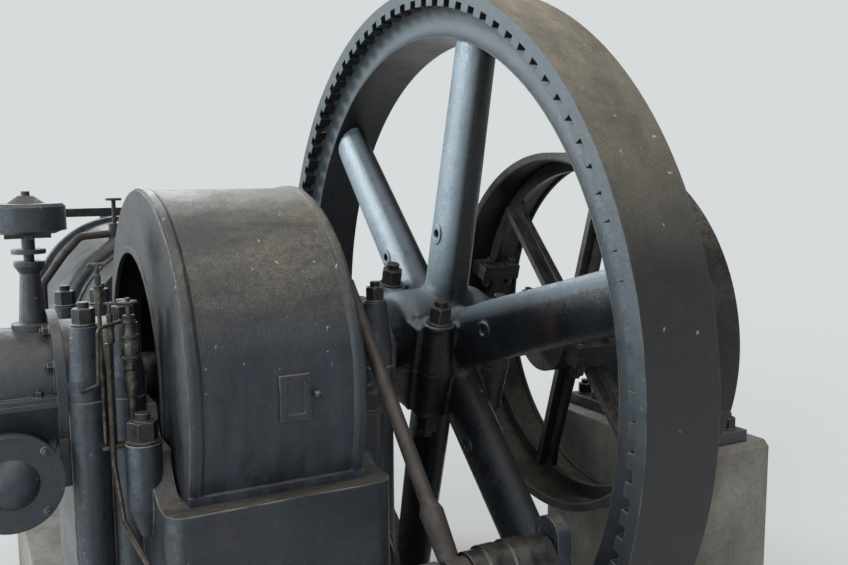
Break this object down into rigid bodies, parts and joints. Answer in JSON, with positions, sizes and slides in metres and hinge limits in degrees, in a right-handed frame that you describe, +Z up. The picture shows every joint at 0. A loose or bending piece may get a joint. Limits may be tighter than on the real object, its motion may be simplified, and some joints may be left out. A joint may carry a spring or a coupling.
{
  "type": "horizontal stationary engine",
  "caption": "Horizontal stationary engine with curved crank guard, spoked flywheel with internal barring ring, split belt pulley and outboard bearing.",
  "frame": {"origin": "on the level base, directly below the crankshaft's axis at the middle of the crank", "axes": "+X along the crankshaft towards the pulley and outboard bearing, +Y from the crank end towards the cylinder head, +Z up"},
  "size_m": [3.07, 3.6179, 2.7699],
  "materials": {
    "black_paint": "worn blue-black machine paint on cast iron, dusty on top",
    "guard_paint": "worn blue-black paint on sheet iron, brown dust on top",
    "wheel_paint": "blue-black paint on cast iron, brown-grey tread",
    "pulley_paint": "bare grey iron with dark paint left on it",
    "concrete": "weathered grey concrete",
    "steel": "oiled machined steel",
    "nut_steel": "blackened steel nuts with worn edges",
    "rusty_steel": "brown rusted steel",
    "brass": "dull brass",
    "copper_pipe": "dull copper and dark painted pipe"
  },
  "bodies": {
    "frame": {"foundation": "concrete", "outboard_block": "concrete", "bed": "black_paint", "left_bearing_cap": "black_paint", "right_bearing_cap": "black_paint", "left_cap_nuts": "nut_steel", "right_cap_nuts": "nut_steel", "front_tie_nuts": "nut_steel", "crank_guard": "guard_paint", "guard_hatch": "guard_paint", "cylinder_jacket": "black_paint", "cylinder_head": "black_paint", "head_nuts": "nut_steel", "exhaust_bend": "rusty_steel", "valve_rockers": "nut_steel", "gear_case_lower": "black_paint", "gear_case_upper": "black_paint", "gear_case_lid": "black_paint", "layshaft_cover": "black_paint", "layshaft": "steel", "layshaft_bearings": "black_paint", "governor_column": "black_paint", "sight_oiler": "brass", "oil_valves": "brass", "oil_pipes": "copper_pipe", "side_pipes": "copper_pipe", "outboard_bearing": "black_paint", "outboard_cap": "black_paint", "outboard_nuts": "nut_steel", "barring_brackets": "black_paint", "gear_case_bolts": "nut_steel", "water_pipe": "rusty_steel"},
    "crank": {"crankshaft": "steel", "flywheel_rim": "wheel_paint", "flywheel_spokes": "wheel_paint", "flywheel_bolts": "nut_steel", "pulley_upper": "pulley_paint", "pulley_lower": "pulley_paint", "pulley_bolts": "nut_steel"},
    "governor": {"governor_head": "black_paint"},
    "barring": {"barring_shaft": "steel", "barring_lever": "rusty_steel"}
  },
  "joints": [
    {"name": "crank_spin", "type": "hinge", "parent": "frame", "child": "crank", "pos_m": [0, 0, 1.42], "axis": [1, 0, 0], "continuous": true},
    {"name": "governor_spin", "type": "hinge", "parent": "frame", "child": "governor", "pos_m": [-0.611, 0, 1.62], "axis": [0, 0, 1], "continuous": true},
    {"name": "barring_swing", "type": "hinge", "parent": "frame", "child": "barring", "pos_m": [0.46, -1.06, 0.995], "axis": [1, 0, 0], "range_deg": [0, 70]}
  ],
  "couplings": [
    {"joint": "governor_spin", "follows": "crank_spin", "ratio": 2}
  ]
}
